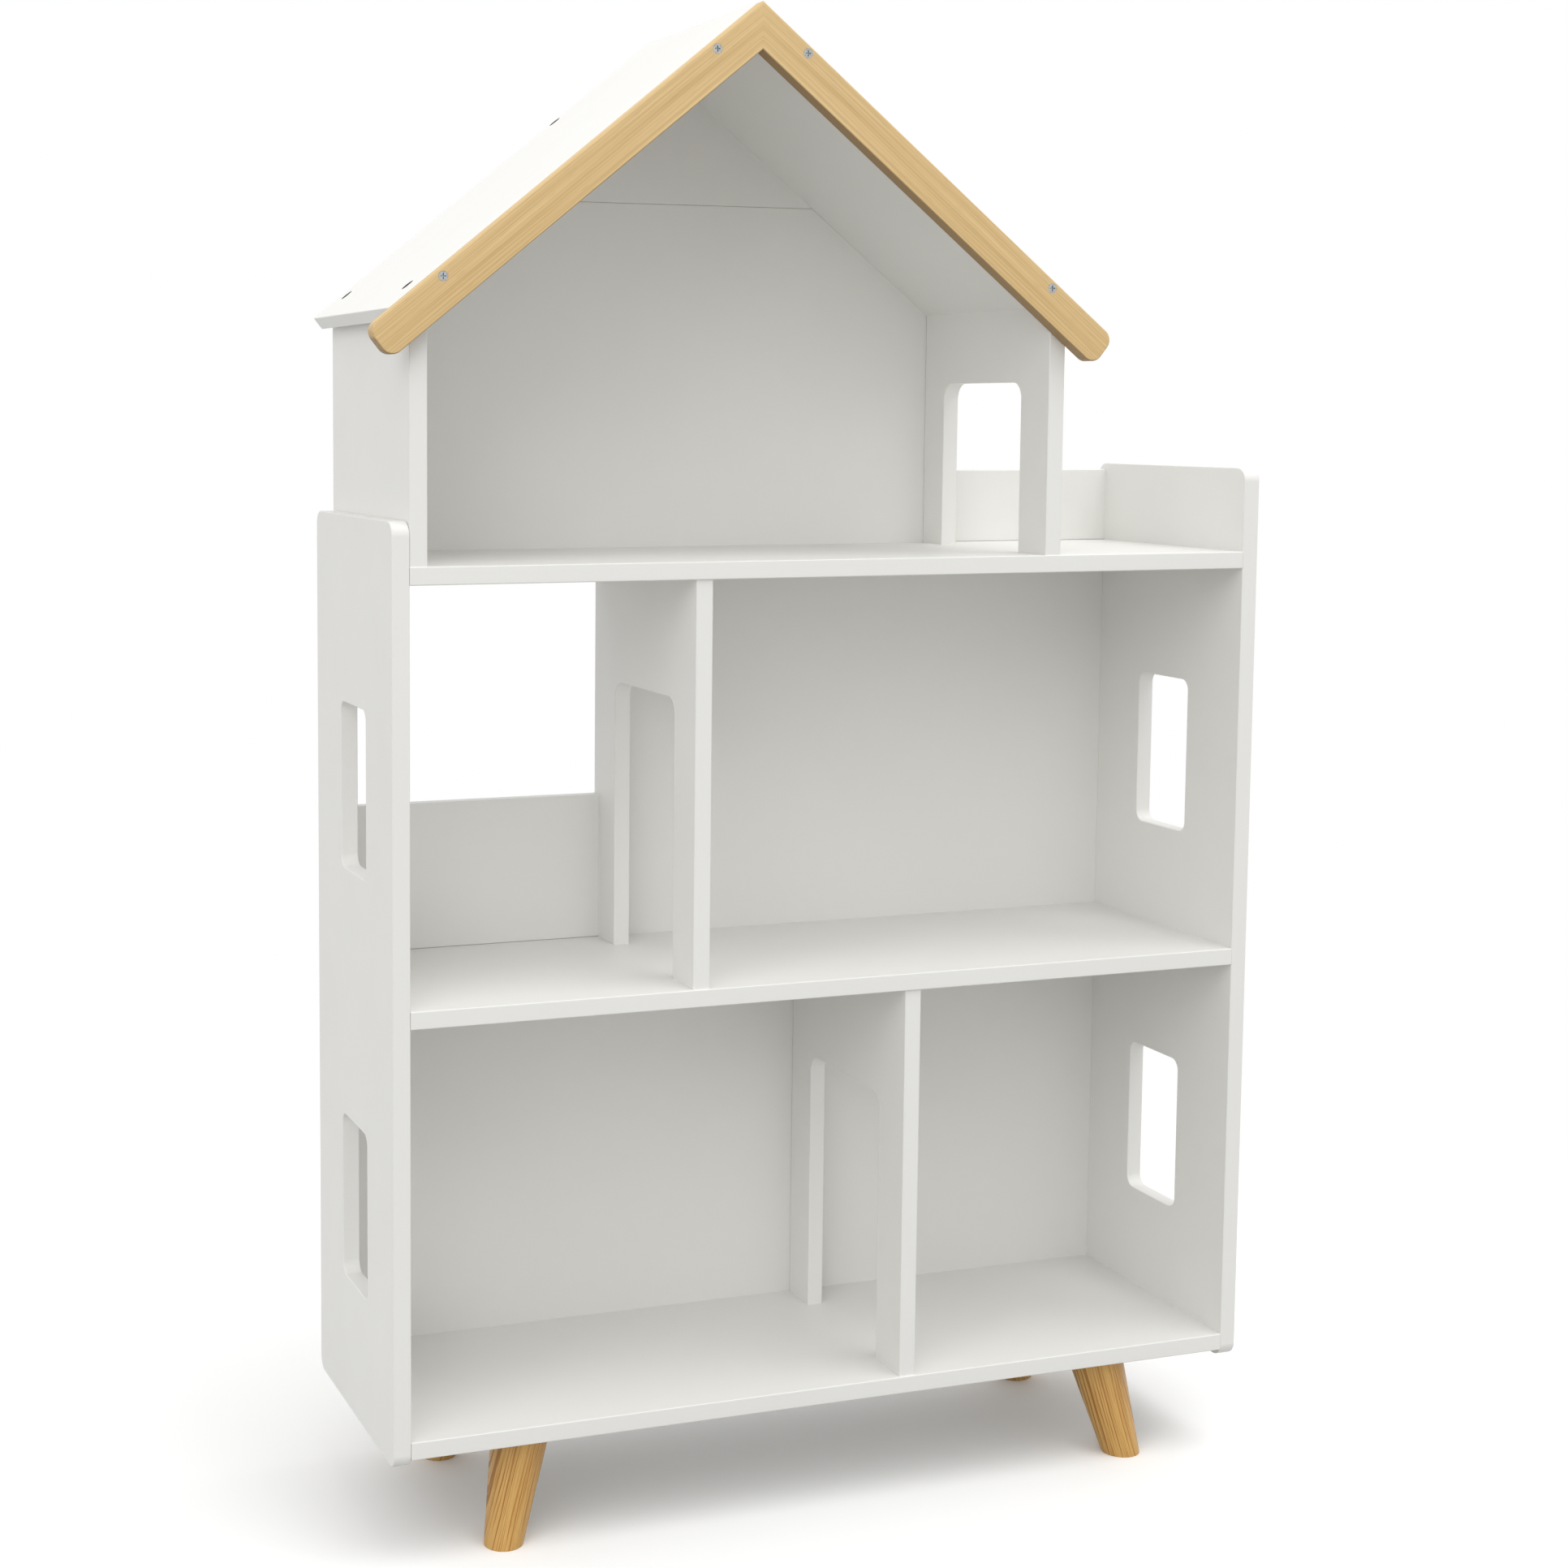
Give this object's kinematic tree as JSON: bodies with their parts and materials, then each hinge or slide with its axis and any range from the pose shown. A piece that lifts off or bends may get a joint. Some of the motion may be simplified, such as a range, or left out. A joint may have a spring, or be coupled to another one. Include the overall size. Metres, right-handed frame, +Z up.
{
  "type": "house shaped bookcase",
  "caption": "Free-standing child's bookcase like a cut-open house: shelves, uprights with door and window cut-outs, pitched roof room with wooden fascia, splayed tapered legs.",
  "frame": {"origin": "centre of the overall box on the floor", "axes": "+X right, +Y to the back, +Z up; the front faces -Y"},
  "size_m": [0.819, 0.255, 1.276],
  "materials": {
    "white_board": "satin white lacquer",
    "oak_veneer": "matt light oak grain",
    "pine": "satin clear lacquer",
    "zinc": "dull zinc plate",
    "beech": "raw"
  },
  "bodies": {
    "root": {"side_panel_left": "white_board", "side_panel_right": "white_board", "shelf_top": "white_board", "shelf_middle": "white_board", "shelf_bottom": "white_board", "divider_middle": "white_board", "divider_lower": "white_board", "house_wall_left": "white_board", "house_wall_right": "white_board", "house_back_lower": "white_board", "house_back_gable": "white_board", "back_panel_middle": "white_board", "back_panel_lower": "white_board", "nook_back_rail": "white_board", "ledge_back_guard": "white_board", "roof_panel_left": "white_board", "roof_panel_right": "white_board", "fascia_left": "oak_veneer", "fascia_right": "oak_veneer", "leg_front_left": "pine", "leg_front_right": "pine", "leg_back_left": "pine", "leg_back_right": "pine", "leg_bolts": "zinc", "shelf_cams": "zinc", "shelf_cam_bolts": "zinc", "house_wall_screws": "zinc", "roof_screws": "zinc", "fascia_screws": "zinc", "shelf_dowels": "beech", "divider_dowels": "beech", "rail_dowels": "beech"}
  },
  "joints": []
}
